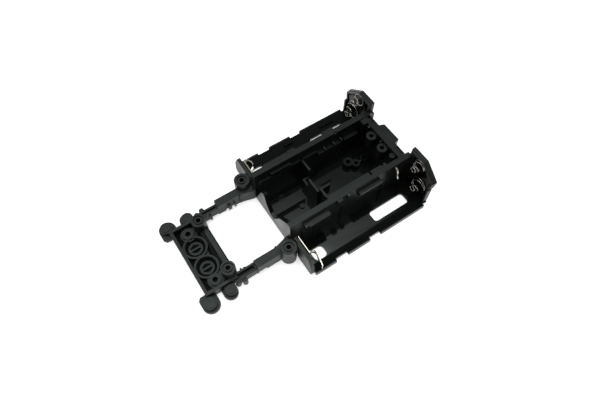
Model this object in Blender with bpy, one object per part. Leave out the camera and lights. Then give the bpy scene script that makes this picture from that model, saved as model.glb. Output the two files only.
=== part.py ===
"""Bare chassis of a small battery-powered model car, with its battery contacts.

The plastic moulding is modelled as its natural sections: the front tray with its mounting pads, two
side rails, the electronics tub, two tall spines, and a battery bay with end walls on each side.
The metal contacts and springs are separate pieces, and those that flex are on their joint axes.

Frame: +X forward, +Y left, +Z up, with the underside at Z = 0.
The cell drives the size: the layout below is drawn in units of about a millimetre, and UNIT makes
the room between the contacts fit one AAA cell. The helpers turn units into metres. A station is a
distance rearward from the tray's front face. Left and right pieces come from one function, with
side = 1 or -1.
"""

import math

import bmesh
import bpy
from mathutils import Matrix, Vector

# Driving dimensions, in metres
CELL_LENGTH = 0.0445      # an AAA cell, over its button
PRESSED_CONTACTS = 0.0012   # a leaf and a spring, both pressed flat

# Frame
FRONT_X = 37.7            # X of the tray's front face
SEAM = 0.2                # gap between neighbouring sections of the moulding
METAL_GAP = 0.3           # gap between a contact and the plastic behind it

# Front tray
TRAY_LENGTH = 10.8
TRAY_HALF_WIDTH = 12.4
TRAY_HEIGHT = 3.7
TRAY_FLOOR = 0.9
RIM = 1.0
SHELF_START = 2.5
SHELF_END = 7.4
SHELF_TOP = 1.7
POCKET_STATION = 4.65
POCKET_Y = 3.75
POCKET_RADIUS = 3.9
POCKET_TOP = 2.4
POCKET_BORE = 3.25
POCKET_DISC = 2.3
POCKET_DISC_TOP = 1.2
POCKET_FLOOR = 0.5
CHANNEL_WIDTH = 0.9                # the channel between the shelf and each side rim
DOWEL_STATION = 4.8
DOWEL_Y = 8.9
DOWEL_RADIUS = 1.9
DOWEL_BORE = 0.85

# Screw bosses
FRONT_BOSS = (9.45, 9.32)
FRONT_BOSS_RADIUS = 2.3
FRONT_BOSS_TOP = 6.6
REAR_BOSS = (27.9, 14.0)
REAR_BOSS_RADIUS = 2.55
REAR_BOSS_TOP = 7.5
SCREW_HOLE = 0.78
GROOVE_INNER = 1.25
GROOVE_OUTER = 1.7
GROOVE_DEPTH = 0.6

# Mounting pads beside the tray
PAD_THICKNESS = 1.1
FRONT_PAD = (0.15, 14.5, 2.75)      # station, y and radius of the round end
REAR_PAD = (6.9, 14.4, 2.3)
FRONT_PAD_DISC = (0.0, 14.5, 2.0)
REAR_PAD_DISC = (7.2, 14.1, 1.9)
PAD_DISC_TOP = 2.6

# Side rails
RAIL_INNER_Y = 10.9
RAIL_OUTER_Y = 13.7
RAIL_START = 11.4
RAIL_STEP = 17.0
RAIL_END = 26.4
RAIL_LOW_TOP = 2.0
RAIL_HIGH_TOP = 5.0

# Tub, spines and bays
BODY_START = 30.2
WALL = 1.4
TUB_HALF_WIDTH = 9.2
FLOOR = 1.0
SPINE_INNER_Y = 9.4
SPINE_OUTER_Y = 11.3
SPINE_TOP = 13.3
BOARD_LEVEL = 9.4                  # height of the ledges that carry the circuit board
REAR_WALL_START = 73.0
REAR_WALL_END = 75.6
REAR_WALL_TOP = 13.0
NUT_POST_STATION = 71.5
NUT_POST_Y = 2.85
NUT_POST_RADIUS = 1.75
NUT_POST_TOP = 11.8
NUT_BORE = 0.75
POST_FOOT = 7.0                    # underside of the posts in front of the rear wall
TAIL_OUTLINE = ((74.0, -4.9), (77.3, -3.5), (77.4, 3.8), (74.2, 4.8))
TAIL_UNDERSIDE = 3.5

BAY_FLOOR = 0.8
BAY_INNER_Y = 11.5
BAY_FLAT_Y = 20.4                  # where the flat floor ends and the outer cradle starts
BAY_EDGE_Y = 23.0
BAY_EDGE_TOP = 1.3                 # the slope's height where it ends between the tabs
BAY_EDGE_END = 75.1
BAY_TAB_Y = 24.0
BAY_TAB_TOP = 1.4
BAY_TABS = ((31.8, 39.4), (44.0, 52.5), (56.9, 74.8))
BAY_FRONT_TOP = 8.5
FRONT_WINDOW = (34.0, 38.5)        # the windows' stations, and the y of their edges on each side
FRONT_WINDOW_YS = {1: (16.4, 20.5), -1: (16.4, 19.3)}
REAR_WINDOW = (57.9, 71.7)
REAR_WINDOW_YS = {1: (15.8, 19.7), -1: (15.8, 19.0)}
END_WALL_START = 76.8
END_WALL_END = 78.0

# Contacts and springs
CONTACT_FOOT = 1.15                # height of the contact plates' lower edges
LEAF_ROOT = (32.55, 17.0)          # station and y of the leaf's bending line
LEAF_LOW = 3.0
LEAF_HIGH = 5.6
LOWER_SPRING = (18.2, 5.8)         # y and z of a spring's axis
UPPER_SPRING = (15.8, 14.0)
SHEET = 0.3
WIRE_RADIUS = 0.22
SPRING_TURNS = 3
SPRING_BASE = 75.65
SPRING_FRONT = 73.9
SPRING_SMALL_RADIUS = 1.25         # radius of a spring's last turn
TIP_STATION = 73.2
TIP_RADIUS = 0.95
FRONT_PLATE = BODY_START + WALL + 0.15       # station of the front contact's front face
REAR_PLATE = END_WALL_START - METAL_GAP - SHEET

# One layout unit in metres, so that a cell fits between the contact plates
UNIT = (CELL_LENGTH + PRESSED_CONTACTS) / (REAR_PLATE - FRONT_PLATE - SHEET)

PLASTIC = (0.022, 0.023, 0.023)
NICKEL = (0.62, 0.60, 0.55)
STEEL = (0.70, 0.70, 0.70)


# ---------------------------------------------------------------- scene and materials

def clear_scene():
    for item in list(bpy.data.objects):
        bpy.data.objects.remove(item, do_unlink=True)


def new_collection(name):
    collection = bpy.data.collections.new(name)
    bpy.context.scene.collection.children.link(collection)
    return collection


def give_material(obj, colour, roughness, metallic):
    material = bpy.data.materials.new(obj.name + "_material")
    material.use_nodes = True
    shader = material.node_tree.nodes["Principled BSDF"]
    shader.inputs["Base Color"].default_value = (*colour, 1.0)
    shader.inputs["Roughness"].default_value = roughness
    shader.inputs["Metallic"].default_value = metallic
    obj.data.materials.clear()
    obj.data.materials.append(material)


# ---------------------------------------------------------------- solids

FRAMES = {
    # outline in (station, y), levels are heights
    "z": Matrix(((-1, 0, 0, FRONT_X), (0, 1, 0, 0), (0, 0, 1, 0), (0, 0, 0, 1))),
    # outline in (y, z), levels are stations
    "x": Matrix(((0, 0, -1, FRONT_X), (1, 0, 0, 0), (0, 1, 0, 0), (0, 0, 0, 1))),
    # outline in (station, z), levels are y
    "y": Matrix(((-1, 0, 0, FRONT_X), (0, 0, 1, 0), (0, 1, 0, 0), (0, 0, 0, 1))),
}


def finish_mesh(mesh, matrix):
    """Bring a mesh into the model's frame, weld it and turn its faces outward."""
    work = bmesh.new()
    work.from_mesh(mesh)
    bmesh.ops.transform(work, matrix=Matrix.Scale(UNIT, 4) @ matrix, verts=work.verts)
    bmesh.ops.remove_doubles(work, verts=work.verts, dist=1e-6)
    bmesh.ops.recalc_face_normals(work, faces=work.faces)
    work.to_mesh(mesh)
    work.free()


def add_object(name, mesh):
    obj = bpy.data.objects.new(name, mesh)
    scratch.objects.link(obj)
    return obj


def prism(name, outline, low, high, axis="z", holes=()):
    """A closed outline, with any holes, extruded between two levels."""
    curve = bpy.data.curves.new(name, "CURVE")
    curve.dimensions = "2D"
    curve.fill_mode = "BOTH"
    curve.extrude = abs(high - low) / 2
    for loop in (outline, *holes):
        spline = curve.splines.new("POLY")
        spline.points.add(len(loop) - 1)
        for point, (across, along) in zip(spline.points, loop):
            point.co = (across, along, 0.0, 1.0)
        spline.use_cyclic_u = True
    holder = bpy.data.objects.new(name, curve)
    scratch.objects.link(holder)
    graph = bpy.context.evaluated_depsgraph_get()
    mesh = bpy.data.meshes.new_from_object(holder.evaluated_get(graph))
    bpy.data.objects.remove(holder, do_unlink=True)
    lift = Matrix.Translation((0, 0, (low + high) / 2))
    finish_mesh(mesh, FRAMES[axis] @ lift)
    return add_object(name, mesh)


def block(name, stations, ys, zs):
    """A rectangular block between two stations, two y and two heights."""
    size = [abs(pair[1] - pair[0]) for pair in (stations, ys, zs)]
    middle = [(pair[0] + pair[1]) / 2 for pair in (stations, ys, zs)]
    mesh = bpy.data.meshes.new(name)
    work = bmesh.new()
    bmesh.ops.create_cube(work, size=1.0)
    bmesh.ops.scale(work, vec=size, verts=work.verts)
    bmesh.ops.translate(work, vec=middle, verts=work.verts)
    work.to_mesh(mesh)
    work.free()
    finish_mesh(mesh, FRAMES["z"])
    return add_object(name, mesh)


def cylinder(name, centre, radius, zs, segments=28):
    """An upright cylinder at a station and y, between two heights."""
    mesh = bpy.data.meshes.new(name)
    work = bmesh.new()
    bmesh.ops.create_cone(work, cap_ends=True, segments=segments, radius1=radius, radius2=radius,
                          depth=abs(zs[1] - zs[0]))
    bmesh.ops.translate(work, vec=(centre[0], centre[1], (zs[0] + zs[1]) / 2), verts=work.verts)
    work.to_mesh(mesh)
    work.free()
    finish_mesh(mesh, FRAMES["z"])
    return add_object(name, mesh)


def arc(centre, radius, start, end, steps):
    """Points of an arc, from one angle to another in degrees."""
    points = []
    for step in range(steps + 1):
        angle = math.radians(start + (end - start) * step / steps)
        points.append((centre[0] + radius * math.cos(angle), centre[1] + radius * math.sin(angle)))
    return points


def circle(centre, radius, steps=28):
    return arc(centre, radius, 0, 360, steps)[:-1]


def ring(name, centre, outer, inner, zs):
    return prism(name, circle(centre, outer), *zs, holes=[circle(centre, inner)])


def rounded_window(stations, ys, radius):
    """A rectangular window with round corners, as a loop of (station, y)."""
    first, last = stations
    low, high = ys
    points = arc((last - radius, high - radius), radius, 0, 90, 5)
    points += arc((first + radius, high - radius), radius, 90, 180, 5)
    points += arc((first + radius, low + radius), radius, 180, 270, 5)
    points += arc((last - radius, low + radius), radius, 270, 360, 5)
    return points


def mirrored(points, side):
    """The same (station, y) outline on the left or the right."""
    return [(station, y * side) for station, y in points]


def mirrored_section(points, side):
    """The same (y, z) section on the left or the right."""
    return [(y * side, z) for y, z in points]


def use_as_cutter(obj):
    scratch.objects.unlink(obj)
    cutters.objects.link(obj)
    obj.hide_render = True
    obj.display_type = "WIRE"


def assemble(name, solids, cuts=(), colour=PLASTIC, roughness=0.45, metallic=0.0, origin=None):
    """Join the solids into one body, take the cuts out of it, and name it."""
    body = solids[0]
    body.name = name
    body.data.name = name
    for operation, pieces in (("UNION", solids[1:]), ("DIFFERENCE", cuts)):
        for piece in pieces:
            use_as_cutter(piece)
            modifier = body.modifiers.new(operation.lower(), "BOOLEAN")
            modifier.operation = operation
            modifier.object = piece
            modifier.solver = "EXACT"
    scratch.objects.unlink(body)
    parts.objects.link(body)
    give_material(body, colour, roughness, metallic)
    if origin is not None:
        place = Vector((FRONT_X - origin[0], origin[1], origin[2])) * UNIT
        body.data.transform(Matrix.Translation(-place))
        body.location = place
    return body


def side_name(name, side):
    return name + ("_left" if side > 0 else "_right")


# ---------------------------------------------------------------- front tray and pads

def screw_cuts(name, centre, top):
    """The screw hole of a boss and the groove around its mouth."""
    hole = cylinder(name + "_hole", centre, SCREW_HOLE, (-1, top + 1), 16)
    groove = ring(name + "_groove", centre, GROOVE_OUTER, GROOVE_INNER, (top - GROOVE_DEPTH, top + 1))
    return [hole, groove]


def tray_pocket(side):
    """A round pocket of the tray: its wall, and the bore, gap and two slots cut in it."""
    centre = (POCKET_STATION, POCKET_Y * side)
    wall = cylinder("pocket_wall", centre, POCKET_RADIUS, (TRAY_FLOOR / 2, POCKET_TOP), 36)
    cuts = [cylinder("pocket_bore", centre, POCKET_BORE, (POCKET_DISC_TOP, TRAY_HEIGHT), 36),
            ring("pocket_gap", centre, POCKET_BORE - 0.1, POCKET_DISC, (POCKET_FLOOR, TRAY_HEIGHT))]
    for offset in (-0.6, 0.6):
        slot_y = centre[1] + offset
        cuts.append(block("slot", (centre[0] - 1.5, centre[0] + 1.5), (slot_y - 0.25, slot_y + 0.25),
                          (POCKET_FLOOR, TRAY_HEIGHT)))
    return wall, cuts


def front_tray():
    half = TRAY_HALF_WIDTH
    shelf_half = half - RIM - CHANNEL_WIDTH
    rear = TRAY_LENGTH
    base = block("tray_floor", (0, rear), (-half, half), (0, TRAY_FLOOR))
    rear_section = [(8.3, 0), (8.3, 1.9), (9.9, TRAY_HEIGHT), (rear, TRAY_HEIGHT), (rear, 0)]
    solids = [
        base,
        block("front_rim", (0, RIM), (-half, half), (0, TRAY_HEIGHT)),
        prism("rear_rim", rear_section, -half, half, "y"),
        block("shelf", (SHELF_START, SHELF_END), (-shelf_half, shelf_half), (TRAY_FLOOR / 2, SHELF_TOP)),
    ]
    cuts = []
    pocket_cuts = []
    for side in (1, -1):
        solids.append(block("side_rim", (0, rear), (half * side, (half - RIM) * side), (0, TRAY_HEIGHT)))
        solids.append(block("rail_lug", (10, RAIL_START - 0.25), (half * side, RAIL_INNER_Y * side),
                            (0, RAIL_LOW_TOP)))
        solids.append(cylinder("knob", (10.25, 13.2 * side), 0.9, (0, 2.7), 16))
        wall, pocket = tray_pocket(side)
        solids.append(wall)
        pocket_cuts += pocket
        dowel = (DOWEL_STATION, DOWEL_Y * side)
        solids.append(cylinder("dowel_ring", dowel, DOWEL_RADIUS, (0.4, SHELF_TOP + 0.9)))
        cuts.append(cylinder("dowel_bore", dowel, DOWEL_BORE, (TRAY_FLOOR, 4), 16))
        boss = (FRONT_BOSS[0], FRONT_BOSS[1] * side)
        solids.append(cylinder("boss", boss, FRONT_BOSS_RADIUS, (0, FRONT_BOSS_TOP)))
        cuts += screw_cuts("boss", boss, FRONT_BOSS_TOP)
    return assemble("front_tray", solids, pocket_cuts + cuts)


def mounting_pad(name, side, pad, disc, wraps_corner):
    """A two-level round pad: a D-shaped plate beside the tray with a smaller disc on it."""
    station, y, radius = pad
    inner = TRAY_HALF_WIDTH + SEAM
    outline = arc((station, y), radius, 0, 180, 14)
    if wraps_corner:
        outline += [(station - radius, 11.9), (station - radius + 0.8, 10.9), (-SEAM, 10.9)]
        outline += [(-SEAM, inner)]
    else:
        outline += [(station - radius, inner)]
    outline += [(station + radius, inner)]
    plate = prism("pad_plate", mirrored(outline, side), 0, PAD_THICKNESS)
    top = cylinder("pad_disc", (disc[0], disc[1] * side), disc[2], (0.3, PAD_DISC_TOP))
    tray_clearance = block("tray_clearance", (-SEAM, TRAY_LENGTH), (0, inner * side), (-1, TRAY_HEIGHT))
    return assemble(side_name(name, side), [plate, top], [tray_clearance])


# ---------------------------------------------------------------- side rails

def side_rail(side):
    inner, outer = RAIL_INNER_Y, RAIL_OUTER_Y
    low = block("rail_low", (RAIL_START, RAIL_STEP + 0.5), (inner * side, (outer - 0.3) * side),
                (0, RAIL_LOW_TOP))
    high_outline = [(RAIL_STEP, inner), (25.0, inner), (29.9, 9.6), (29.9, 12.6), (RAIL_END, outer),
                    (RAIL_STEP, outer)]
    boss = (REAR_BOSS[0], REAR_BOSS[1] * side)
    solids = [
        low,
        block("rail_inner_wall", (RAIL_START, RAIL_STEP + 0.5), (inner * side, (inner + 0.7) * side),
              (0, 3.9)),
        block("rail_outer_wall", (RAIL_START, RAIL_STEP + 0.5), ((outer - 1.0) * side, (outer - 0.3) * side),
              (0, 3.1)),
        prism("rail_high", mirrored(high_outline, side), 0, RAIL_HIGH_TOP),
        cylinder("rail_knob", (12.3, 13.9 * side), 0.85, (0, 2.7), 16),
        cylinder("boss", boss, REAR_BOSS_RADIUS, (0, REAR_BOSS_TOP)),
    ]
    cuts = screw_cuts("boss", boss, REAR_BOSS_TOP)
    for start, end in ((14.3, 16.9), (19.6, 22.8)):
        cuts.append(block("rail_notch", (start, end), ((inner - 1) * side, (inner + 0.4) * side), (-1, 1.6)))
    cuts.append(block("foot_notch", (17.2, 20.2), ((outer - 0.4) * side, (outer + 1) * side), (-1, 1.8)))
    return assemble(side_name("side_rail", side), solids, cuts)


# ---------------------------------------------------------------- electronics tub

def tub_front_wall():
    half = TUB_HALF_WIDTH
    section = [(-half, 0), (half, 0), (half, 13.1), (5.3, 9.6), (1.7, 3.2), (-0.5, 3.2),
               (-2.7, 7.0), (-3.5, 10.2), (-4.2, 10.9), (-5.7, 9.6), (-8.1, 4.1), (-half, 1.2)]
    wall = prism("front_wall", section, BODY_START, BODY_START + WALL, "x")
    return assemble("tub_front_wall", [wall])


def tub_floor():
    start = BODY_START + WALL + SEAM
    base = block("floor", (start, REAR_WALL_START - SEAM), (-TUB_HALF_WIDTH, TUB_HALF_WIDTH), (0, FLOOR))
    solids = [base, block("keel", (start, 43.0), (-0.3, 0.9), (0.3, 3.0))]
    cuts = []
    posts = ((63.1, -2.95, 1.8, 0.8), (65.1, -1.1, 1.5, 0.65), (68.8, -1.4, 1.45, 0.6))
    for station, y, outer, bore in posts:
        solids.append(cylinder("post", (station, y), outer, (0.3, 3.0), 24))
        cuts.append(cylinder("post_bore", (station, y), bore, (FLOOR, 6), 14))
    solids.append(block("post_web", (63.1, 71.4), (-1.7, -1.2), (0.3, 2.4)))
    solids.append(cylinder("stud", (40.9, 2.1), 0.85, (0.3, 1.9), 16))
    solids.append(block("floor_step", (50.4, 55.0), (-1.9, -1.1), (0.3, 1.6)))
    return assemble("tub_floor", solids, cuts)


def tub_partition():
    """The cross wall that carries the middle of the circuit board."""
    low = FLOOR + SEAM
    solids = [
        block("middle", (45.3, 46.1), (-4.7, 4.0), (low, 5.0)),
        block("middle_upright", (45.3, 46.1), (-1.5, 4.0), (low, BOARD_LEVEL)),
        block("right_link", (45.3, 48.3), (-4.7, -4.1), (low, 5.0)),
        block("right", (47.5, 48.3), (-8.4, -4.1), (low, BOARD_LEVEL)),
        block("left_link", (45.3, 47.2), (3.2, 4.0), (low, 5.0)),
        block("left", (46.4, 47.2), (3.2, 7.9), (low, BOARD_LEVEL)),
        block("bracket", (46.4, 50.3), (3.2, 3.9), (4.0, BOARD_LEVEL)),
    ]
    return assemble("tub_partition", solids)


def tub_rear_wall():
    half = TUB_HALF_WIDTH
    solids = [
        block("rear_wall", (REAR_WALL_START, REAR_WALL_END), (-half, half), (0, REAR_WALL_TOP)),
        prism("tail_block", TAIL_OUTLINE, TAIL_UNDERSIDE, REAR_WALL_TOP + 0.1),
        block("corner_web", (71.5, REAR_WALL_START + 1), (-half, -7.2), (8.0, REAR_WALL_TOP - 0.1)),
        cylinder("key_post", (72.1, 7.25), 1.0, (POST_FOOT, 12.2), 18),
    ]
    cuts = []
    for y in (-NUT_POST_Y, NUT_POST_Y):
        post = (NUT_POST_STATION, y)
        solids.append(cylinder("nut_post", post, NUT_POST_RADIUS, (POST_FOOT, NUT_POST_TOP), 24))
        cuts.append(cylinder("nut_bore", post, NUT_BORE, (POST_FOOT + 1.5, NUT_POST_TOP + 1), 14))
    return assemble("tub_rear_wall", solids, cuts)


def spine(side):
    """The tall wall between the tub and a battery bay, with the ledges on both of its faces."""
    inner, outer = SPINE_INNER_Y, SPINE_OUTER_Y
    solids = [
        block("spine_wall", (BODY_START, END_WALL_START - SEAM), (inner * side, outer * side),
              (0, SPINE_TOP)),
        block("board_ledge", (BODY_START + WALL + SEAM, 54.0), ((inner - 0.7) * side, (inner + 0.5) * side),
              (8.2, BOARD_LEVEL)),
    ]
    for start, end in ((54.2, 64.0), (64.8, 70.6)):
        solids.append(block("board_rest", (start, end), ((inner - 1.3) * side, (inner + 0.5) * side),
                            (5.6, 8.2)))
    if side > 0:
        for start, end in ((34.8, 44.0), (55.3, 64.2)):
            section = [(outer - 0.5, 8.8), (outer - 0.5, 11.0), (12.8, 11.0), (12.8, 10.4)]
            solids.append(prism("cell_ledge", section, start, end, "x"))
        for start, end in ((45.3, 61.2), (62.0, 68.0)):
            solids.append(block("top_flange", (start, end), (inner - 1.0, inner + 0.5),
                                (11.9, SPINE_TOP - 0.1)))
    else:
        for start, end in ((44.1, 47.0), (57.8, 61.9)):
            section = [(0.5 - outer, 10.6), (-12.3, 12.2), (-12.3, 13.0), (0.5 - outer, 13.0)]
            solids.append(prism("cell_stop", section, start, end, "x"))
    return assemble(side_name("spine", side), solids)


# ---------------------------------------------------------------- battery bays

def bay_floor(side):
    """The floor of a bay with its two windows, and the broken cradle wall along its outer edge."""
    start = BODY_START + WALL + SEAM
    end = END_WALL_START - SEAM
    plate = block("bay_plate", (start, end), (BAY_INNER_Y * side, BAY_EDGE_Y * side), (0, BAY_FLOOR))
    section = [(BAY_FLAT_Y - 0.3, 0), (BAY_TAB_Y, 0), (BAY_TAB_Y - 0.15, BAY_TAB_TOP),
               (BAY_TAB_Y - 0.6, BAY_TAB_TOP), (BAY_FLAT_Y, BAY_FLOOR - 0.05)]
    edge_section = [(BAY_FLAT_Y - 0.3, 0.2), (BAY_EDGE_Y, 0.2), (BAY_EDGE_Y, BAY_EDGE_TOP),
                    (BAY_FLAT_Y, BAY_FLOOR - 0.05)]
    edge = prism("bay_edge", mirrored_section(edge_section, side), start, BAY_EDGE_END, "x")
    solids = [plate, edge]
    for first, last in BAY_TABS:
        solids.append(prism("bay_tab", mirrored_section(section, side), first, last, "x"))
    for first, last in ((48.8, 52.2), (64.0, 69.4)):
        solids.append(block("cell_pad", (first, last), (20.9 * side, 21.8 * side), (0.3, 1.5)))
    front = rounded_window(FRONT_WINDOW, FRONT_WINDOW_YS[side], 1.4)
    rear = rounded_window(REAR_WINDOW, REAR_WINDOW_YS[side], 1.0)
    cuts = [prism("front_window", mirrored(front, side), -1, 1.3),
            prism("rear_window", mirrored(rear, side), -1, 1.3)]
    return assemble(side_name("bay_floor", side), solids, cuts)


def bay_front_wall(side):
    section = [(13.0, 0), (22.7, 0), (23.1, 1.2), (22.7, 5.0), (21.1, BAY_FRONT_TOP), (13.0, BAY_FRONT_TOP)]
    wall = prism("bay_front", mirrored_section(section, side), BODY_START, BODY_START + WALL - 0.1, "x")
    boss = (REAR_BOSS[0], REAR_BOSS[1] * side)
    clearance = cylinder("boss_clearance", boss, REAR_BOSS_RADIUS + SEAM, (-1, BAY_FRONT_TOP + 1))
    return assemble(side_name("bay_front_wall", side), [wall], [clearance])


def bay_end_wall(side):
    """The five-sided wall behind a bay, with a chamfered foot and a lip that wraps forward."""
    low_outline = [(END_WALL_START, 9.6), (END_WALL_END, 9.6), (END_WALL_END, 20.8),
                   (END_WALL_START + 0.3, 22.4), (END_WALL_START, 22.4)]
    high_section = [(10.5, 7.8), (22.4, 7.8), (22.8, 11.6), (16.8, 16.5), (10.5, 16.5)]
    solids = [
        prism("end_wall_low", mirrored(low_outline, side), 0, 8.0),
        prism("end_wall_high", mirrored_section(high_section, side), END_WALL_START, END_WALL_END, "x"),
        block("inner_post", (END_WALL_START, END_WALL_END), (9.6 * side, 10.8 * side), (7.5, 12.0)),
        block("side_lip", (75.3, END_WALL_START + 0.3), (21.9 * side, 22.6 * side), (BAY_FLOOR + SEAM, 7.8)),
    ]
    return assemble(side_name("bay_end_wall", side), solids)


# ---------------------------------------------------------------- contacts and springs

def metal(name, solids, colour=NICKEL, origin=None):
    return assemble(name, solids, colour=colour, roughness=0.25, metallic=1.0, origin=origin)


def ribbon(points, thickness):
    """An outline of constant thickness around a centre line of (station, y) points."""
    near, far = [], []
    for index, point in enumerate(points):
        before = Vector(points[max(index - 1, 0)])
        after = Vector(points[min(index + 1, len(points) - 1)])
        along = (after - before).normalized()
        across = Vector((-along.y, along.x)) * thickness / 2
        near.append(tuple(Vector(point) + across))
        far.append(tuple(Vector(point) - across))
    return near + far[::-1]


def front_contact(side):
    """The angled contact plate at the front of a bay."""
    front = FRONT_PLATE
    outline = [(front, 13.1), (front + 2.6, 13.1), (front + 2.6, 13.1 + SHEET), (front + SHEET, 13.1 + SHEET),
               (front + SHEET, 19.3), (front, 19.3)]
    plate = prism("plate", mirrored(outline, side), CONTACT_FOOT, BAY_FRONT_TOP)
    return metal(side_name("front_contact", side), [plate])


def front_leaf(side):
    """The sprung leaf that presses on the lower cell, bulging rearward from its root."""
    bulge = arc((31.3, 20.6), 2.8, -56, 46, 12)
    centre_line = [LEAF_ROOT] + bulge
    outline = ribbon(centre_line, SHEET)
    leaf = prism("leaf", mirrored(outline, side), LEAF_LOW, LEAF_HIGH)
    root = (LEAF_ROOT[0], LEAF_ROOT[1] * side, (LEAF_LOW + LEAF_HIGH) / 2)
    return metal(side_name("front_leaf", side), [leaf], origin=root)


def rear_contact(side):
    section = [(12.6, CONTACT_FOOT), (21.3, CONTACT_FOOT), (21.3, 11.0), (16.5, 15.4), (12.6, 15.4)]
    plate = prism("plate", mirrored_section(section, side), REAR_PLATE, REAR_PLATE + SHEET, "x")
    return metal(side_name("rear_contact", side), [plate])


def side_contact():
    """The contact tab on the left spine, a sheet standing across the bay with a sloping edge."""
    tab = [(11.6, 12.9), (11.9, 12.9), (14.2, 9.8), (13.9, 9.4), (11.6, 9.4)]
    foot = [(70.1, 11.6), (70.1, 11.9), (67.4, 11.9), (67.4, 11.6)]
    solids = [prism("tab", tab, 70.0, 70.3, "x"), prism("foot", foot, 6.6, 9.6)]
    return metal("side_contact_left", solids)


def contact_spring(name, side, axis, base_radius):
    """A conical coil on the rear contact, standing forward along the bay."""
    steps = 12
    curve = bpy.data.curves.new(name, "CURVE")
    curve.dimensions = "3D"
    curve.bevel_depth = WIRE_RADIUS * UNIT
    curve.bevel_resolution = 2
    curve.use_fill_caps = True
    spline = curve.splines.new("POLY")
    count = SPRING_TURNS * steps + 1
    spline.points.add(count - 1)
    for index, point in enumerate(spline.points):
        part = index / (count - 1)
        radius = base_radius + (SPRING_SMALL_RADIUS - base_radius) * part
        angle = 2 * math.pi * SPRING_TURNS * part
        station = SPRING_BASE + (SPRING_FRONT - SPRING_BASE) * part
        y = axis[0] * side + radius * math.cos(angle)
        z = axis[1] + radius * math.sin(angle)
        point.co = ((FRONT_X - station) * UNIT, y * UNIT, z * UNIT, 1.0)
    holder = bpy.data.objects.new(name, curve)
    scratch.objects.link(holder)
    graph = bpy.context.evaluated_depsgraph_get()
    mesh = bpy.data.meshes.new_from_object(holder.evaluated_get(graph))
    bpy.data.objects.remove(holder, do_unlink=True)
    finish_mesh(mesh, Matrix.Scale(1 / UNIT, 4))
    coil = add_object(name, mesh)
    return metal(side_name(name, side), [coil], STEEL)


def spring_tip(name, side, axis):
    """The closed front turn of a spring, which the cell pushes rearward."""
    mesh = bpy.data.meshes.new(name)
    work = bmesh.new()
    profile_steps, ring_steps = 8, 20
    rows = []
    for turn in range(ring_steps):
        angle = 2 * math.pi * turn / ring_steps
        row = []
        for step in range(profile_steps):
            tilt = 2 * math.pi * step / profile_steps
            reach = TIP_RADIUS + WIRE_RADIUS * math.cos(tilt)
            row.append(work.verts.new((TIP_STATION + WIRE_RADIUS * math.sin(tilt),
                                       axis[0] * side + reach * math.cos(angle),
                                       axis[1] + reach * math.sin(angle))))
        rows.append(row)
    for turn in range(ring_steps):
        here, there = rows[turn], rows[(turn + 1) % ring_steps]
        for step in range(profile_steps):
            follow = (step + 1) % profile_steps
            work.faces.new((here[step], there[step], there[follow], here[follow]))
    work.to_mesh(mesh)
    work.free()
    finish_mesh(mesh, FRAMES["z"])
    tip = add_object(name, mesh)
    return metal(side_name(name, side), [tip], STEEL, origin=(TIP_STATION, axis[0] * side, axis[1]))


# ---------------------------------------------------------------- the chassis

def smooth_round_pieces():
    for obj in parts.objects:
        obj.data.shade_smooth()
        obj.data.set_sharp_from_angle(angle=math.radians(30))


def build_side(side):
    mounting_pad("front_pad", side, FRONT_PAD, FRONT_PAD_DISC, True)
    mounting_pad("rear_pad", side, REAR_PAD, REAR_PAD_DISC, False)
    side_rail(side)
    spine(side)
    bay_floor(side)
    bay_front_wall(side)
    bay_end_wall(side)
    front_contact(side)
    front_leaf(side)
    rear_contact(side)
    for level, axis, base_radius in (("lower", LOWER_SPRING, 2.9), ("upper", UPPER_SPRING, 2.1)):
        contact_spring(level + "_spring", side, axis, base_radius)
        spring_tip(level + "_spring_tip", side, axis)


clear_scene()
parts = new_collection("car_chassis")
cutters = new_collection("cutters")
scratch = new_collection("scratch")
front_tray()
tub_front_wall()
tub_floor()
tub_partition()
tub_rear_wall()
for chassis_side in (1, -1):
    build_side(chassis_side)
side_contact()
smooth_round_pieces()
bpy.data.collections.remove(scratch)
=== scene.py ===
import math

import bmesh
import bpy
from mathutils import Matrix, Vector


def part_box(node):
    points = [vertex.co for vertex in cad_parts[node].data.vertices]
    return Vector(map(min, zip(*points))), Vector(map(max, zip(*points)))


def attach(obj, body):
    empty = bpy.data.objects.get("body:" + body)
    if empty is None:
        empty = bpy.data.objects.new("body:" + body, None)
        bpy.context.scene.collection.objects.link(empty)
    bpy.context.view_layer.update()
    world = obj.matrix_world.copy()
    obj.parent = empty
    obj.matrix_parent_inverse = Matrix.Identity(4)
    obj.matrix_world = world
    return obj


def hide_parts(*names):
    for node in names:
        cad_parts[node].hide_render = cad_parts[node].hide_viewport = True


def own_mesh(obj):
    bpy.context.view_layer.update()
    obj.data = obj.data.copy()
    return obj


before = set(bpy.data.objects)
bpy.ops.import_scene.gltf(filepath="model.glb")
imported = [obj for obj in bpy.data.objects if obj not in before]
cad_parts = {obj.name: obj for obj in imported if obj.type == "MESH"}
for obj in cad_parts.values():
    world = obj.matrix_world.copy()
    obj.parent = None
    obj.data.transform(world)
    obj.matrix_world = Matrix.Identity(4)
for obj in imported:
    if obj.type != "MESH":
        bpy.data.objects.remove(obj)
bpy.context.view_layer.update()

# Looks of the bare chassis of a small battery-powered model car: black moulded plastic, nickel contacts
# and steel springs, on a pale table.
#
# Sizes are in layout units of about a millimetre, measured from the frame. A place is (station, y, z):
# the station runs rearward from the tray's front face, and side = 1 is the car's left.

# ---------------------------------------------------------------- layout

SPINE_TOP = 13.3
FRONT_X = 37.7
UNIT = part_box("spine_left")[1].z / SPINE_TOP
LAYOUT = Matrix.Scale(UNIT, 4) @ Matrix(((-1, 0, 0, FRONT_X), (0, 1, 0, 0), (0, 0, 1, 0), (0, 0, 0, 1)))
TO_LAYOUT = LAYOUT.inverted()
SIDES = ((1, "left"), (-1, "right"))

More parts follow.
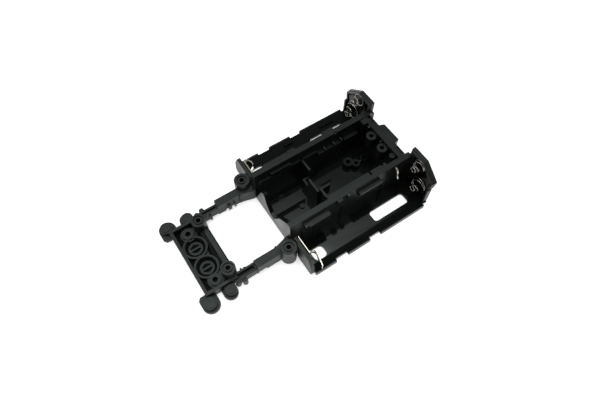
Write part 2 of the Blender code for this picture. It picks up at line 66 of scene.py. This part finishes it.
# Stations of the main walls
BODY_START = 30.2
WALL_END = 31.6            # rear face of the tub's front wall
REAR_WALL = 73.0
END_WALL = 76.8

# The spines' faces
SPINE_IN = 9.4
SPINE_OUT = 11.3

# Front tray, and the screw bosses by station and y
TRAY_SIDE = 12.4           # y of the tray's side faces
TRAY_TOP = 3.7
TRAY_FLOOR = 0.6
POCKET = (4.65, 3.75)
DOWEL = (4.8, 8.9)
FRONT_BOSS = (9.45, 9.32)
REAR_BOSS = (27.9, 14.0)
HOLE_REACH = 0.8           # just past a screw hole's radius

# Moulding
EDGE = 0.13                # usual rounding of its edges
FINE_EDGE = 0.1
PAD_EDGE = 0.25
SHARP = math.radians(28)   # edges sharper than this are rounded
FLAT = math.radians(0.5)   # faces closer than this are one face
ROUND_STEPS = 40           # faces round a drum or a ring

# Contacts and springs
SHEET = 0.3                # thickness of the contacts
SHEET_EDGE = 0.05
SPRINGS = (("lower", (18.2, 5.8), 2.9), ("upper", (15.8, 14.0), 2.1))     # level, centre, widest radius
SPRING_SEAT = 75.95        # station of a spring's wide end turn
COIL_END = 73.45           # station where a coil stops, just behind its end turn
TIP_STATION = 73.2
TIP_RADIUS = 0.95
TURNS = 2.5
FLAT_TURNS = 0.9           # turns that lie flat on the seat
STEPS_PER_TURN = 28
TIP_STEPS = 32
WIRE_RADIUS = 0.14
WIRE_SIDES = 10


# ---------------------------------------------------------------- solids

scratch = bpy.data.collections.new("scratch")
bpy.context.scene.collection.children.link(scratch)


def keep_mesh(name, work):
    """An object from a bmesh in layout units, waiting in the scratch collection."""
    bmesh.ops.recalc_face_normals(work, faces=work.faces)
    mesh = bpy.data.meshes.new(name)
    work.to_mesh(mesh)
    work.free()
    obj = bpy.data.objects.new(name, mesh)
    scratch.objects.link(obj)
    return obj


AXES = {"z": (0, 1, 2), "x": (1, 2, 0), "y": (0, 2, 1)}      # where an outline's values and its level go


def prism(outline, low, high, axis="z"):
    """A closed outline between two levels: (station, y) for z, (y, z) for x, (station, z) for y."""
    work = bmesh.new()
    first, second, third = AXES[axis]
    rows = []
    for level in (low, high):
        row = []
        for point in outline:
            spot = [0.0, 0.0, 0.0]
            spot[first], spot[second], spot[third] = point[0], point[1], level
            row.append(work.verts.new(spot))
        rows.append(row)
    work.faces.new(rows[0])
    work.faces.new(rows[1])
    for index in range(len(outline)):
        follow = (index + 1) % len(outline)
        work.faces.new((rows[0][index], rows[0][follow], rows[1][follow], rows[1][index]))
    return keep_mesh("prism", work)


def block(stations, ys, zs):
    outline = [(stations[0], ys[0]), (stations[1], ys[0]), (stations[1], ys[1]), (stations[0], ys[1])]
    return prism(outline, zs[0], zs[1])


def arc(centre, radius, start, end, steps):
    points = []
    for step in range(steps + 1):
        angle = math.radians(start + (end - start) * step / steps)
        points.append((centre[0] + radius * math.cos(angle), centre[1] + radius * math.sin(angle)))
    return points


def circle(centre, radius):
    return arc(centre, radius, 0, 360, ROUND_STEPS)[:-1]


def drum(centre, radius, zs):
    return prism(circle(centre, radius), zs[0], zs[1])


def tube_ring(centre, outer, inner, zs):
    """A round wall between two radii."""
    work = bmesh.new()
    loops = []
    for radius in (outer, inner):
        for level in zs:
            loops.append([work.verts.new((*point, level)) for point in circle(centre, radius)])
    order = (loops[0], loops[1], loops[3], loops[2])
    for index in range(4):
        here, there = order[index], order[(index + 1) % 4]
        for step in range(ROUND_STEPS):
            follow = (step + 1) % ROUND_STEPS
            work.faces.new((here[step], here[follow], there[follow], there[step]))
    return keep_mesh("ring", work)


def wire(points, closed=False):
    """Round wire along a list of points."""
    work = bmesh.new()
    spots = [Vector(point) for point in points]
    count = len(spots)
    across = None
    rings = []
    for index, spot in enumerate(spots):
        before = spots[index - 1] if closed or index else spot
        after = spots[(index + 1) % count] if closed or index < count - 1 else spot
        along = (after - before).normalized()
        if across is None:
            across = along.orthogonal().normalized()
        across = (across - along * across.dot(along)).normalized()
        other = along.cross(across)
        ring = []
        for side in range(WIRE_SIDES):
            angle = 2 * math.pi * side / WIRE_SIDES
            offset = (across * math.cos(angle) + other * math.sin(angle)) * WIRE_RADIUS
            ring.append(work.verts.new(spot + offset))
        rings.append(ring)
    for index in range(count if closed else count - 1):
        here, there = rings[index], rings[(index + 1) % count]
        for side in range(WIRE_SIDES):
            follow = (side + 1) % WIRE_SIDES
            work.faces.new((here[side], here[follow], there[follow], there[side]))
    if not closed:
        work.faces.new(rings[0])
        work.faces.new(rings[-1])
    return keep_mesh("wire", work)


def ribbon(points):
    """The outline of a bent sheet around its centre line."""
    near, far = [], []
    for index, point in enumerate(points):
        before = Vector(points[max(index - 1, 0)])
        after = Vector(points[min(index + 1, len(points) - 1)])
        along = (after - before).normalized()
        across = Vector((-along.y, along.x)) * SHEET / 2
        near.append(tuple(Vector(point) + across))
        far.append(tuple(Vector(point) - across))
    return near + far[::-1]


def mirrored(points, side):
    """Points of (station, y), moved to a side."""
    return [(station, y * side) for station, y in points]


def mirrored_section(points, side):
    """Points of (y, z), moved to a side."""
    return [(y * side, z) for y, z in points]


def snapped(value, moves):
    for old, new in moves:
        if abs(value - old) < 0.03:
            return new
    return value


def cad_solid(node, stations=(), ys=(), zs=()):
    """The CAD solid of a node in layout units, with some of its planes moved to close thin seams."""
    work = bmesh.new()
    work.from_mesh(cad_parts[node].data)
    bmesh.ops.transform(work, matrix=TO_LAYOUT, verts=work.verts)
    bmesh.ops.remove_doubles(work, verts=work.verts, dist=0.002)
    bmesh.ops.dissolve_limit(work, angle_limit=FLAT, verts=work.verts, edges=work.edges)
    for vert in work.verts:
        vert.co.x = snapped(vert.co.x, stations)
        vert.co.y = math.copysign(snapped(abs(vert.co.y), ys), vert.co.y)
        vert.co.z = snapped(vert.co.z, zs)
    bmesh.ops.triangulate(work, faces=work.faces)
    return keep_mesh(node, work)


def joined(body, extra, cuts):
    """The body with the extra solids joined on and the cuts taken out, as a plain mesh."""
    for operation, tools in (("UNION", extra), ("DIFFERENCE", cuts)):
        for tool in tools:
            modifier = body.modifiers.new("join", "BOOLEAN")
            modifier.operation = operation
            modifier.object = tool
            modifier.solver = "EXACT"
    graph = bpy.context.evaluated_depsgraph_get()
    mesh = bpy.data.meshes.new_from_object(body.evaluated_get(graph))
    for tool in (*extra, *cuts):
        bpy.data.objects.remove(tool, do_unlink=True)
    body.modifiers.clear()
    body.data = mesh
    return body


def round_edges(piece, width):
    bevel = piece.modifiers.new("rounded_edges", "BEVEL")
    bevel.width = width * UNIT
    bevel.segments = 2
    bevel.limit_method = "ANGLE"
    bevel.angle_limit = SHARP
    bevel.use_clamp_overlap = True
    normals = piece.modifiers.new("flat_faces", "WEIGHTED_NORMAL")
    normals.weight = 100


def shown(name, solid, material, node, body="chassis", edge=0.0):
    work = bmesh.new()
    work.from_mesh(solid.data)
    bmesh.ops.remove_doubles(work, verts=work.verts, dist=0.004)
    bmesh.ops.dissolve_limit(work, angle_limit=FLAT, verts=work.verts, edges=work.edges)
    bmesh.ops.transform(work, matrix=LAYOUT, verts=work.verts)
    bmesh.ops.recalc_face_normals(work, faces=work.faces)
    mesh = bpy.data.meshes.new(name)
    work.to_mesh(mesh)
    work.free()
    bpy.data.objects.remove(solid, do_unlink=True)
    piece = bpy.data.objects.new(name, mesh)
    bpy.context.scene.collection.objects.link(piece)
    mesh.materials.append(material)
    mesh.shade_smooth()
    if edge:
        round_edges(piece, edge)
    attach(piece, body)
    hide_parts(node)
    return piece


# ---------------------------------------------------------------- materials

# Noises, as cells to the metre and octaves
FLOW = (90, 3)
PATCHES = (260, 4)
SPARK = (5200, 3)
RIPPLE = (420, 2)
SCUFFS = (900, 4)
DULLING = (500, 4)
MARKS = (2600, 3)
NOISE_LOW, NOISE_HIGH = 0.3, 0.7       # the part of a noise's range that its variation spans

RIPPLE_SHARE = 1.6                     # depths of ripples and scuffs, as shares of the grain's
SCUFF_SHARE = 0.7
MARK_DEPTH = 0.000004                  # depths of the metal's marks and dents, in metres
DENT_DEPTH = 0.00001
SCUFFED = (0.16, 1.0, 1.0)             # stretch of the scuffs, and of the sheet's rolling marks
ROLLED = (1.0, 0.08, 1.0)
EVEN = (1.0, 1.0, 1.0)

GLOSS = 0.35                           # specular level of the moulding
SHEEN_TINT = (0.9, 1.0, 0.95, 1.0)     # its reflections are faintly green


def new_material(name, colour, metallic, roughness):
    material = bpy.data.materials.new(name)
    material.use_nodes = True
    shader = material.node_tree.nodes["Principled BSDF"]
    shader.inputs["Base Color"].default_value = (*colour, 1.0)
    shader.inputs["Metallic"].default_value = metallic
    shader.inputs["Roughness"].default_value = roughness
    return material, shader


def noise(tree, kind, stretch=None):
    """Noise in object space."""
    coordinates = tree.nodes.new("ShaderNodeTexCoord")
    texture = tree.nodes.new("ShaderNodeTexNoise")
    texture.inputs["Scale"].default_value = kind[0]
    texture.inputs["Detail"].default_value = kind[1]
    source = coordinates.outputs["Object"]
    if stretch:
        mapping = tree.nodes.new("ShaderNodeMapping")
        mapping.inputs["Scale"].default_value = stretch
        tree.links.new(source, mapping.inputs["Vector"])
        source = mapping.outputs["Vector"]
    tree.links.new(source, texture.inputs["Vector"])
    return texture.outputs["Fac"]


def ranged(tree, source, low, high, start=NOISE_LOW, end=NOISE_HIGH):
    span = tree.nodes.new("ShaderNodeMapRange")
    span.inputs["From Min"].default_value = start
    span.inputs["From Max"].default_value = end
    span.inputs["To Min"].default_value = low
    span.inputs["To Max"].default_value = high
    tree.links.new(source, span.inputs["Value"])
    return span.outputs["Result"]


def mixed_colour(tree, share, first, second):
    mix = tree.nodes.new("ShaderNodeMix")
    mix.data_type = "RGBA"
    mix.inputs["A"].default_value = (*first, 1.0)
    mix.inputs["B"].default_value = (*second, 1.0)
    tree.links.new(share, mix.inputs["Factor"])
    return mix.outputs["Result"]


def bumped(tree, shader, layers):
    """Bump from several heights, each (height, depth in metres)."""
    normal = None
    for height, depth in layers:
        bump = tree.nodes.new("ShaderNodeBump")
        bump.inputs["Distance"].default_value = depth
        bump.inputs["Strength"].default_value = 1.0
        tree.links.new(height, bump.inputs["Height"])
        if normal:
            tree.links.new(normal, bump.inputs["Normal"])
        normal = bump.outputs["Normal"]
    tree.links.new(normal, shader.inputs["Normal"])


def plastic(name, dark, light, smooth, rough, grain, gloss=GLOSS):
    """Spark-textured black plastic: fine grain, flow shading and faint scuffs."""
    material, shader = new_material(name, dark, 0.0, rough)
    tree = material.node_tree
    flow = noise(tree, FLOW)
    shade = mixed_colour(tree, ranged(tree, flow, 0, 1), dark, light)
    tree.links.new(shade, shader.inputs["Base Color"])
    patches = noise(tree, PATCHES)
    tree.links.new(ranged(tree, patches, smooth, rough), shader.inputs["Roughness"])
    spark = noise(tree, SPARK)
    ripple = noise(tree, RIPPLE)
    scuffs = noise(tree, SCUFFS, SCUFFED)
    layers = ((spark, grain), (ripple, grain * RIPPLE_SHARE), (scuffs, grain * SCUFF_SHARE))
    bumped(tree, shader, layers)
    shader.inputs["Specular IOR Level"].default_value = gloss
    shader.inputs["Specular Tint"].default_value = SHEEN_TINT
    return material


def metal(name, colour, tint, smooth, rough, stretch):
    """Plated sheet or wire with rolling marks and a little dulling."""
    material, shader = new_material(name, colour, 1.0, rough)
    tree = material.node_tree
    dulling = noise(tree, DULLING)
    shade = mixed_colour(tree, ranged(tree, dulling, 0, 1), colour, tint)
    tree.links.new(shade, shader.inputs["Base Color"])
    marks = noise(tree, MARKS, stretch)
    tree.links.new(ranged(tree, marks, smooth, rough), shader.inputs["Roughness"])
    bumped(tree, shader, ((marks, MARK_DEPTH), (dulling, DENT_DEPTH)))
    return material


# The moulding's usual finish, the satin one outside, the polished floors, and a near-black low-gloss
# material that paints shade into deep places
BLACK = plastic("black_moulding", (0.0025, 0.0036, 0.003), (0.0045, 0.006, 0.0052),
                smooth=0.28, rough=0.4, grain=0.000005)
SATIN = plastic("black_moulding_satin", (0.0045, 0.006, 0.0052), (0.0075, 0.0094, 0.0084),
                smooth=0.36, rough=0.48, grain=0.000006)
POLISHED = plastic("black_moulding_polished", (0.002, 0.0024, 0.0022), (0.0035, 0.0042, 0.0038),
                   smooth=0.06, rough=0.1, grain=0.000001)
# painted shade: a darker black with almost no gloss, put on recesses so that they read black
PAINTED_SHADE = plastic("black_moulding_painted_shade", (0.0018, 0.003, 0.0022), (0.0026, 0.0042, 0.003),
               smooth=0.5, rough=0.62, grain=0.000006, gloss=0.06)

NICKEL = metal("nickel_plate", (0.72, 0.69, 0.62), (0.55, 0.52, 0.44), 0.14, 0.3, ROLLED)
# rear contacts: near-black metal, far darker than the nickel
DARK_PLATE = metal("dark_plate", (0.014, 0.013, 0.01), (0.008, 0.0075, 0.0055), 0.16, 0.28, ROLLED)
STEEL = metal("spring_steel", (0.42, 0.41, 0.38), (0.22, 0.21, 0.19), 0.1, 0.18, EVEN)


def moulding(node, stations=(), ys=(), zs=(), extra=(), cuts=(), edge=EDGE, material=BLACK):
    """A finished plastic piece in place of a CAD node."""
    solid = joined(cad_solid(node, stations, ys, zs), extra, cuts)
    return shown(node + "_moulded", solid, material, node, edge=edge)


def paint_shade(piece, stations, ys, zs, upright_only=False):
    """Paint shade on the faces inside a box of layout units, with the near-black low-gloss material."""
    piece.data.materials.append(PAINTED_SHADE)
    for face in piece.data.polygons:
        if upright_only and abs(face.normal.z) > 0.5:
            continue
        spot = TO_LAYOUT @ face.center
        if all(low < value < high for value, (low, high) in zip(spot, (stations, ys, zs))):
            face.material_index = len(piece.data.materials) - 1


def paint_hole_shade(piece, boss, side):
    """Painted shade on the walls of a boss's screw hole."""
    station, y = boss[0], boss[1] * side
    stations = (station - HOLE_REACH, station + HOLE_REACH)
    paint_shade(piece, stations, (y - HOLE_REACH, y + HOLE_REACH), (-0.5, 7.4), upright_only=True)


# ---------------------------------------------------------------- front tray, pads and rails

def front_tray():
    extra, cuts = [], []
    rounds = []
    for side, _ in SIDES:
        # each pocket's disc is hollowed, with a bar left across it
        pocket = (POCKET[0], POCKET[1] * side)
        for start, end in ((14, 166), (194, 346)):
            cuts.append(prism(arc(pocket, 1.45, start, end, 12), 0.75, 2.0))
        rounds.append(drum(pocket, 3.93, (0, 4)))
        # a low wall round each dowel, and ribs from the bosses to the rims
        dowel = (DOWEL[0], DOWEL[1] * side)
        extra.append(tube_ring(dowel, 2.45, 1.97, (TRAY_FLOOR, 1.95)))
        extra.append(block((8.9, 9.9), (11.0 * side, 12.0 * side), (0.5, 3.45)))
        rounds.append(drum(dowel, 2.48, (0, 4)))
    # the shelf's front edge stands back between the pockets and dowels
    cuts.append(joined(block((2.3, 4.3), (-11.15, 11.15), (0.94, 2.3)), [], rounds))
    # a groove along the front rim, the slope inside the rear rim and the lip behind it
    cuts.append(block((0.42, 0.62), (-11.6, 11.6), (3.5, 5)))
    slope = [(8.35, TRAY_FLOOR), (10.1, TRAY_FLOOR), (10.1, TRAY_TOP), (9.35, TRAY_TOP)]
    extra.append(prism(slope, -6.7, 6.7, "y"))
    extra.append(block((10.6, 11.2), (-8.0, 8.0), (0.3, 3.3)))
    tray = moulding("front_tray", stations=((11.15, 11.3),), extra=extra, cuts=cuts, material=SATIN)
    # painted shade on the tray's floor channel, on the lip behind the rear rim and in the front bosses'
    # screw holes
    paint_shade(tray, (0.9, 8.3), (-11.5, 11.5), (0.4, 1.1))          # the floor
    paint_shade(tray, (10.8, 11.3), (-8.1, 8.1), (3.2, 3.4))          # the lip
    for side, _ in SIDES:
        paint_hole_shade(tray, FRONT_BOSS, side)


def pads():
    front_face = ((-0.2, 0.0),)
    for side, hand in SIDES:
        dome = drum((0.0, 14.5 * side), 1.55, (2.3, 2.85))
        moulding("front_pad_" + hand, stations=front_face, ys=((12.6, TRAY_SIDE),), extra=[dome],
                 edge=PAD_EDGE, material=SATIN)
        dome = drum((7.2, 14.1 * side), 1.45, (2.3, 2.85))
        bridge = block((4.9, 8.8), (TRAY_SIDE * side, 12.75 * side), (0.05, 1.05))
        moulding("rear_pad_" + hand, stations=front_face, extra=[dome, bridge],
                 edge=PAD_EDGE, material=SATIN)


RAIL_DETAILS = (            # stations, ys and zs of the small parts on a rail
    ((12.5, 13.0), (10.35, 11.05), (1.2, 3.8)),
    ((24.9, 25.4), (10.4, 11.05), (0.6, 4.6)),
    ((16.5, 17.25), (10.95, 13.2), (1.0, 3.4)),
    ((28.95, BODY_START), (9.65, 12.5), (0.3, 4.9)),
    ((13.6, 14.3), (10.2, 11.05), (0.5, 2.6)),
    ((20.4, 21.5), (10.2, 11.05), (0.5, 2.6)),
    ((22.6, 23.1), (10.2, 11.05), (0.5, 2.6)),
)


def rails():
    for side, hand in SIDES:
        extra = []
        for stations, (near, far), zs in RAIL_DETAILS:
            extra.append(block(stations, (near * side, far * side), zs))
        rail = moulding("side_rail_" + hand, stations=((11.4, 11.15),), extra=extra, material=SATIN)
        paint_hole_shade(rail, REAR_BOSS, side)


# ---------------------------------------------------------------- electronics tub

def tub():
    side_planes = ((9.2, SPINE_IN),)
    gusset = prism([(31.4, 0.9), (33.6, 0.9), (31.4, 3.0)], 0.0, 0.5, "y")
    moulding("tub_front_wall", ys=side_planes, extra=[gusset], edge=FINE_EDGE)

    floor_rings = [
        tube_ring((52.6, 4.4), 1.15, 0.75, (0.8, 1.6)),
        tube_ring((37.0, -4.6), 1.1, 0.75, (0.8, 1.4)),
    ]
    moulding("tub_floor", stations=((31.8, WALL_END), (72.8, REAR_WALL)), ys=side_planes, extra=floor_rings,
             material=POLISHED)
    moulding("tub_partition", ys=((8.4, SPINE_IN), (7.9, SPINE_IN)), zs=((1.2, 0.9),), edge=0.08)

    ribs = [
        block((72.2, REAR_WALL + 0.5), (0.55, 0.85), (9.0, 12.0)),
        block((72.4, REAR_WALL + 0.5), (-6.4, -5.6), (4.0, 12.4)),
    ]
    notches = [
        block((74.4, 75.2), (5.8, 8.8), (12.6, 14)),
        block((74.4, 75.6), (-9.2, -8.3), (-1, 14)),
    ]
    moulding("tub_rear_wall", ys=side_planes, extra=ribs, cuts=notches)


def left_spine_details():
    ledges = [
        block((36.2, 43.8), (12.5, 13.2), (9.9, 10.8)),
        block((47.2, 49.0), (SPINE_OUT - 0.3, 12.2), (11.6, 13.2)),
        block((51.0, 52.4), (SPINE_OUT - 0.3, 12.0), (11.6, 13.2)),
    ]
    notches = [block((66.2, 67.0), (8.0, 9.0), (12.4, 14))]
    return ledges, notches


def right_spine_details():
    ledges = [
        block((36.0, 43.6), (-9.9, -8.6), (10.6, 11.0)),
        block((35.8, 44.6), (-13.2, -11.1), (10.1, 10.9)),
    ]
    for station in (56.6, 60.4, 63.4):
        ledges.append(block((station, station + 0.35), (-9.9, -8.0), (8.0, 9.3)))
    return ledges, []


def spines():
    for side, hand in SIDES:
        extra, notches = left_spine_details() if side > 0 else right_spine_details()
        cuts = [block((61.25, 61.95), (8.0 * side, 9.9 * side), (12.6, 14))] + notches
        rib_ys = ((SPINE_OUT - 0.2) * side, (SPINE_OUT + 0.35) * side)
        for start in (34.5, 39.0, 49.5, 66.0):
            extra.append(block((start, start + 0.45), rib_ys, (1.0, 8.0)))
        moulding("spine_" + hand, stations=((76.6, END_WALL),), extra=extra, cuts=cuts)


# ---------------------------------------------------------------- battery bays

FLOOR_RIB = [(20.9, 0.6), (23.3, 0.6), (23.3, 1.4), (23.0, 1.4)]
END_RIM = [(21.5, 8.0), (22.3, 8.0), (22.7, 11.5), (16.7, 16.3), (11.0, 16.3), (11.0, 15.7), (16.5, 15.7),
           (22.0, 11.3)]


def bays():
    for side, hand in SIDES:
        ribs = []
        for station in (33.4, 36.6, 45.4, 50.2, 58.6, 62.4, 71.2):
            ribs.append(prism(mirrored_section(FLOOR_RIB, side), station, station + 0.4, "x"))
        floor = moulding("bay_floor_" + hand, stations=((31.8, WALL_END), (76.6, END_WALL)),
                         ys=((11.5, SPINE_OUT),), extra=ribs, material=POLISHED)
        # painted shade on the outer slope, and on the right bay's flat floor
        shade_ys = (20.9, 23.3) if side > 0 else (-23.3, -14.0)
        paint_shade(floor, (32.0, 76.5), shade_ys, (0.7, 1.6))

        moulding("bay_front_wall_" + hand, ys=((13.0, 12.7),), edge=FINE_EDGE, material=SATIN)

        # a rim round the end wall's front edge, and a rib on its outer lip
        rim = prism(mirrored_section(END_RIM, side), 75.9, END_WALL + 0.3, "x")
        rib = block((76.2, END_WALL + 0.3), (21.6 * side, 22.3 * side), (7.2, 9.6))
        moulding("bay_end_wall_" + hand, extra=[rim, rib], material=SATIN)


# ---------------------------------------------------------------- contacts and springs

# Centre lines of the bent sheets, and the outline of the flat one
FRONT_PLATE = [(31.9, 13.0), (31.9, 19.4)]
LEAF_ROOT = [(32.55, 17.0), (33.3, 17.5), (34.4, 18.2), (34.7, 18.9)]
LEAF_BLADE = [(34.45, 18.2), (34.72, 18.7), (34.6, 19.6)]
LEAF_TIP = {1: (33.6, 23.9), -1: (33.6, 21.4)}
SIDE_STRIP = [(11.75, 12.9), (12.6, 12.3), (13.2, 11.2), (13.3, 9.8), (13.9, 9.0)]
REAR_PLATE = [(12.6, 1.15), (21.3, 1.15), (21.3, 11.0), (16.5, 15.4), (12.6, 15.4)]


def contacts():
    for side, hand in SIDES:
        # front contact: an upright plate with a bent tab at its outer end
        plate = prism(mirrored(ribbon(FRONT_PLATE), side), 1.15, 8.8)
        tab = block((31.85, 32.9), (18.9 * side, 19.4 * side), (7.6, 8.2))
        shown("front_contact_folded_" + hand, joined(plate, [tab], []), NICKEL,
              "front_contact_" + hand, edge=SHEET_EDGE)

        # sprung leaf: a low strip from its root to a taller blade that meets the cell
        root = prism(mirrored(ribbon(LEAF_ROOT), side), 3.0, 4.3)
        blade = prism(mirrored(ribbon(LEAF_BLADE + [LEAF_TIP[side]]), side), 3.05, 5.6)
        shown("front_leaf_bowed_" + hand, joined(root, [blade], []), NICKEL,
              "front_leaf_" + hand, body="front_leaf_" + hand, edge=SHEET_EDGE)

        # rear contact: a flat plate behind the springs
        plate = prism(mirrored_section(REAR_PLATE, side), 76.2, 76.5, "x")
        shown("rear_contact_plate_" + hand, plate, DARK_PLATE, "rear_contact_" + hand,
              edge=SHEET_EDGE)

    strip = prism(ribbon(SIDE_STRIP), 69.6, 70.2, "x")
    shown("side_contact_tab", strip, NICKEL, "side_contact_left", edge=SHEET_EDGE)


def coil_points(side, y, z, base):
    """A conical coil's centre line, from its flat turn on the seat to just behind its end turn."""
    points = []
    steps = int(TURNS * STEPS_PER_TURN)
    for index in range(steps + 1):
        share = index / steps
        rise = max(0.0, (share * TURNS - FLAT_TURNS) / (TURNS - FLAT_TURNS))
        radius = base + (TIP_RADIUS - base) * rise
        angle = 2 * math.pi * TURNS * share * side
        station = SPRING_SEAT + (COIL_END - SPRING_SEAT) * rise
        points.append((station, y * side + radius * math.cos(angle), z + radius * math.sin(angle)))
    return points


def end_turn_points(side, y, z):
    points = []
    for step in range(TIP_STEPS):
        angle = 2 * math.pi * step / TIP_STEPS
        across, up = TIP_RADIUS * math.cos(angle), TIP_RADIUS * math.sin(angle)
        points.append((TIP_STATION, y * side + across, z + up))
    return points


def springs():
    for side, hand in SIDES:
        for level, (y, z), base in SPRINGS:
            spring = level + "_spring_"
            coil = shown(spring + "coil_" + hand, wire(coil_points(side, y, z, base)), STEEL,
                         spring + hand)
            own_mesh(coil)
            tip = spring + "tip_" + hand
            shown(spring + "end_turn_" + hand, wire(end_turn_points(side, y, z), closed=True), STEEL,
                  tip, body=tip)


# ---------------------------------------------------------------- floor, light and camera

TABLE_SIZE = 4.0           # metres
TABLE_DROP = 0.00005       # keeps the table just under the chassis
TABLE_WHITE = (0.93, 0.93, 0.925)
TABLE_ROUGHNESS = 0.55
TABLE_GLOW = 0.5           # light that comes up through the table
GLOW_COLOUR = (1.0, 1.0, 0.99, 1.0)

HORIZON = 0.35             # brightness of the tent's sides
ZENITH = 2.15              # and of its top
TOP_STARTS = 0.86          # sine of the elevation where the tent starts to brighten
TOP_FULL = 0.94            # and where it is brightest

# The view: angles in degrees, distance and target in layout units, lens and sensor in millimetres
AZIMUTH = 144.912
ELEVATION = 61.707
ROLL = 1.6605
DISTANCE = 162.2184
TARGET = (-4.27, -0.845, 0.0)
LENS = 29.107
SENSOR = 36.0


def stage():
    work = bmesh.new()
    bmesh.ops.create_grid(work, x_segments=2, y_segments=2, size=TABLE_SIZE / 2)
    mesh = bpy.data.meshes.new("table")
    work.to_mesh(mesh)
    work.free()
    table = bpy.data.objects.new("table", mesh)
    table.location.z = -TABLE_DROP
    bpy.context.scene.collection.objects.link(table)
    material, shader = new_material("white_table", TABLE_WHITE, 0.0, TABLE_ROUGHNESS)
    shader.inputs["Emission Color"].default_value = GLOW_COLOUR
    shader.inputs["Emission Strength"].default_value = TABLE_GLOW
    mesh.materials.append(material)


def area_light(name, location, size, power):
    light = bpy.data.lights.new(name, "AREA")
    light.shape = "DISK"
    light.size = size
    light.energy = power
    lamp = bpy.data.objects.new(name, light)
    lamp.location = location
    lamp.rotation_mode = "QUATERNION"
    lamp.rotation_quaternion = (-Vector(location)).to_track_quat("-Z", "Y")
    bpy.context.scene.collection.objects.link(lamp)


def lights():
    """A white light tent, bright overhead and dim toward the horizon, and two soft boxes."""
    world = bpy.data.worlds.new("studio")
    bpy.context.scene.world = world
    world.use_nodes = True
    tree = world.node_tree
    coordinates = tree.nodes.new("ShaderNodeTexCoord")
    split = tree.nodes.new("ShaderNodeSeparateXYZ")
    tree.links.new(coordinates.outputs["Generated"], split.inputs["Vector"])
    brightness = ranged(tree, split.outputs["Z"], HORIZON, ZENITH, TOP_STARTS, TOP_FULL)
    background = tree.nodes["Background"]
    tree.links.new(brightness, background.inputs["Strength"])
    background.inputs["Color"].default_value = (1.0, 1.0, 1.0, 1.0)
    area_light("softbox_above", (-0.05, -0.1, 0.9), size=0.5, power=1.2)
    area_light("softbox_front", (0.8, -0.45, 0.5), size=0.6, power=2.5)
    bpy.context.scene.view_settings.view_transform = "Standard"


def camera():
    azimuth, elevation, roll = (math.radians(angle) for angle in (AZIMUTH, ELEVATION, ROLL))
    back = Vector((math.sin(azimuth) * math.cos(elevation), -math.cos(azimuth) * math.cos(elevation),
                   math.sin(elevation)))
    level = Vector((math.cos(azimuth), math.sin(azimuth), 0.0))
    upright = back.cross(level)
    right = level * math.cos(roll) + upright * math.sin(roll)
    up = upright * math.cos(roll) - level * math.sin(roll)
    lens = bpy.data.cameras.new("camera")
    lens.lens = LENS
    lens.sensor_width = SENSOR
    lens.clip_start = 0.005
    lens.clip_end = 20.0
    viewer = bpy.data.objects.new("camera", lens)
    viewer.rotation_mode = "QUATERNION"
    viewer.rotation_quaternion = Matrix((right, up, back)).transposed().to_quaternion()
    viewer.location = (Vector(TARGET) + back * DISTANCE) * UNIT
    bpy.context.scene.collection.objects.link(viewer)
    bpy.context.scene.camera = viewer


camera()
lights()
stage()
front_tray()
pads()
rails()
tub()
spines()
bays()
contacts()
springs()
